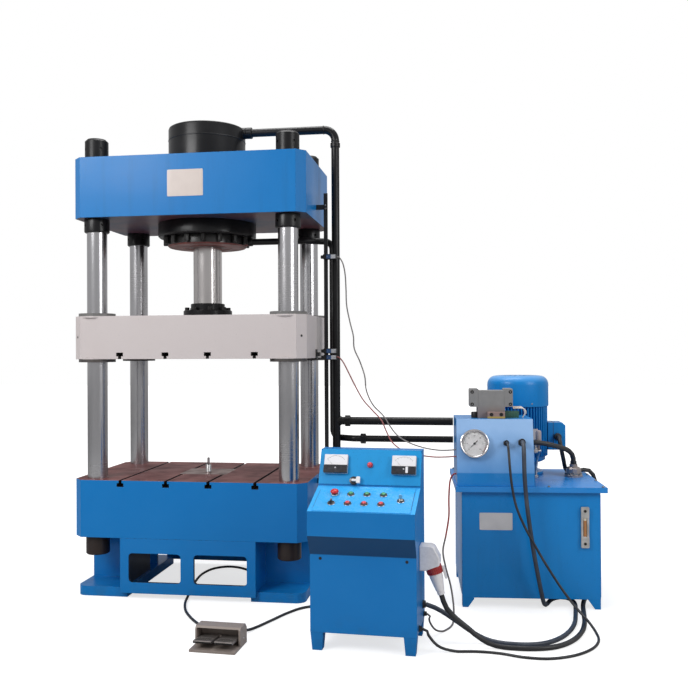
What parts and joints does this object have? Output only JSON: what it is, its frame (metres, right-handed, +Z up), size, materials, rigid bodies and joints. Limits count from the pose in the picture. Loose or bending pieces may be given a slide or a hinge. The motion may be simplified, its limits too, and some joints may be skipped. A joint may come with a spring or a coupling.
{
  "type": "hydraulic press",
  "caption": "Floor-standing column-guided hydraulic press with T-slotted bed and slide, bed ejector, power pack with upright motor, control console and foot switch.",
  "frame": {"origin": "on the floor, under the middle of the box round the machine's rigid pieces", "axes": "+X to the machine's right, from the press towards the power pack; +Y away from the operator; +Z up"},
  "size_m": [3.1675, 1.688, 2.8887],
  "materials": {
    "blue_paint": "gloss",
    "cream_paint": "satin",
    "black_paint": "gloss",
    "polished_steel": "polished",
    "oiled_steel": "machined and oiled",
    "white_plastic": "gloss",
    "red_plastic": "gloss",
    "green_plastic": "gloss",
    "black_plastic": "satin",
    "grey_metal": "satin",
    "bronze": "cast",
    "cable_sheath": "satin",
    "red_sheath": "satin"
  },
  "bodies": {
    "machine": {"plinth": "blue_paint", "bed": "blue_paint", "centre_plate": "oiled_steel", "crosshead": "blue_paint", "column_front_left": "polished_steel", "column_front_right": "polished_steel", "column_rear_left": "polished_steel", "column_rear_right": "polished_steel", "cylinder_barrel": "black_paint", "cylinder_gland": "black_paint", "ejector_cylinder": "black_paint", "switch_rail": "black_paint", "main_pipe": "black_paint", "return_pipe": "black_paint", "console_cabinet": "blue_paint", "console_desk": "blue_paint", "console_panel": "blue_paint", "meter_left": "white_plastic", "meter_right": "white_plastic", "indicator_lamp": "red_plastic", "power_inlet": "white_plastic", "power_plug": "white_plastic", "oil_tank": "blue_paint", "tank_lid": "blue_paint", "valve_stand": "blue_paint", "pressure_gauge": "white_plastic", "directional_valve": "grey_metal", "relief_valve": "bronze", "motor_housing": "blue_paint", "fan_cowl": "blue_paint", "oil_pump": "grey_metal", "level_gauge": "polished_steel", "return_hose": "cable_sheath", "foot_switch_body": "grey_metal", "motor_cable": "cable_sheath", "valve_cable": "cable_sheath", "signal_cable": "cable_sheath", "foot_cable": "cable_sheath", "foot_lead": "cable_sheath", "upper_limit_wire": "cable_sheath", "lower_limit_wire": "cable_sheath", "stand_wires": "red_sheath"},
    "slide_group": {"slide": "cream_paint", "piston_rod": "polished_steel", "rod_flange": "black_paint"},
    "ejector": {"ejector_rod": "polished_steel"},
    "emergency_stop": {"emergency_stop": "red_plastic"},
    "green_button_1": {"green_button_1": "green_plastic"},
    "green_button_2": {"green_button_2": "green_plastic"},
    "green_button_3": {"green_button_3": "green_plastic"},
    "red_button_1": {"red_button_1": "red_plastic"},
    "red_button_2": {"red_button_2": "red_plastic"},
    "red_button_3": {"red_button_3": "red_plastic"},
    "selector_switch": {"selector_switch": "black_plastic"},
    "key_switch": {"key_switch": "polished_steel"},
    "main_switch": {"main_switch": "black_plastic"},
    "gauge_needle": {"gauge_needle": "black_plastic"},
    "motor_shaft": {"motor_shaft": "polished_steel"},
    "pedal_left": {"pedal_left": "grey_metal"},
    "pedal_right": {"pedal_right": "grey_metal"}
  },
  "joints": [
    {"name": "slide_stroke", "type": "slide", "parent": "machine", "child": "slide_group", "axis": [0, 0, 1], "range_m": [-0.3, 0.2]},
    {"name": "ejector_stroke", "type": "slide", "parent": "machine", "child": "ejector", "axis": [0, 0, 1], "range_m": [-0.09, 0.08]},
    {"name": "emergency_stop_press", "type": "slide", "parent": "machine", "child": "emergency_stop", "axis": [-0.0169, -0.3215, 0.9468], "range_m": [-0.005, 0], "stiffness_N_per_m": 900, "springref_m": 0.002},
    {"name": "green_button_1_press", "type": "slide", "parent": "machine", "child": "green_button_1", "axis": [-0.0169, -0.3215, 0.9468], "range_m": [-0.004, 0], "stiffness_N_per_m": 500, "springref_m": 0.001},
    {"name": "green_button_2_press", "type": "slide", "parent": "machine", "child": "green_button_2", "axis": [-0.0169, -0.3215, 0.9468], "range_m": [-0.004, 0], "stiffness_N_per_m": 500, "springref_m": 0.001},
    {"name": "green_button_3_press", "type": "slide", "parent": "machine", "child": "green_button_3", "axis": [-0.0169, -0.3215, 0.9468], "range_m": [-0.004, 0], "stiffness_N_per_m": 500, "springref_m": 0.001},
    {"name": "red_button_1_press", "type": "slide", "parent": "machine", "child": "red_button_1", "axis": [-0.0169, -0.3215, 0.9468], "range_m": [-0.004, 0], "stiffness_N_per_m": 500, "springref_m": 0.001},
    {"name": "red_button_2_press", "type": "slide", "parent": "machine", "child": "red_button_2", "axis": [-0.0169, -0.3215, 0.9468], "range_m": [-0.004, 0], "stiffness_N_per_m": 500, "springref_m": 0.001},
    {"name": "red_button_3_press", "type": "slide", "parent": "machine", "child": "red_button_3", "axis": [-0.0169, -0.3215, 0.9468], "range_m": [-0.004, 0], "stiffness_N_per_m": 500, "springref_m": 0.001},
    {"name": "selector_turn", "type": "hinge", "parent": "machine", "child": "selector_switch", "pos_m": [0.12648, -0.7208, 0.71711], "axis": [-0.0169, -0.3215, 0.9468], "range_deg": [-45, 45]},
    {"name": "key_turn", "type": "hinge", "parent": "machine", "child": "key_switch", "pos_m": [0.4665, -0.70069, 0.72998], "axis": [-0.0169, -0.3215, 0.9468], "range_deg": [-90, 0]},
    {"name": "main_switch_turn", "type": "hinge", "parent": "machine", "child": "main_switch", "pos_m": [0.21469, -0.53753, 0.80254], "axis": [-0.0477, -0.9109, 0.4099], "range_deg": [0, 90]},
    {"name": "needle_swing", "type": "hinge", "parent": "machine", "child": "gauge_needle", "pos_m": [0.82702, 0.0957, 0.92785], "axis": [0.065, -0.9783, 0.1967], "range_deg": [-270, 0], "stiffness_Nm_per_rad": 0.03},
    {"name": "shaft_spin", "type": "hinge", "parent": "machine", "child": "motor_shaft", "pos_m": [1.10499, 0.64867, 1], "axis": [0, 0, 1], "continuous": true},
    {"name": "pedal_left_press", "type": "hinge", "parent": "machine", "child": "pedal_left", "pos_m": [-0.49316, -0.69721, 0.036], "axis": [0.9986, -0.0523, 0], "range_deg": [0, 8], "stiffness_Nm_per_rad": 8, "springref_deg": -14.32},
    {"name": "pedal_right_press", "type": "hinge", "parent": "machine", "child": "pedal_right", "pos_m": [-0.38431, -0.70291, 0.036], "axis": [0.9986, -0.0523, 0], "range_deg": [0, 8], "stiffness_Nm_per_rad": 8, "springref_deg": -14.32}
  ]
}
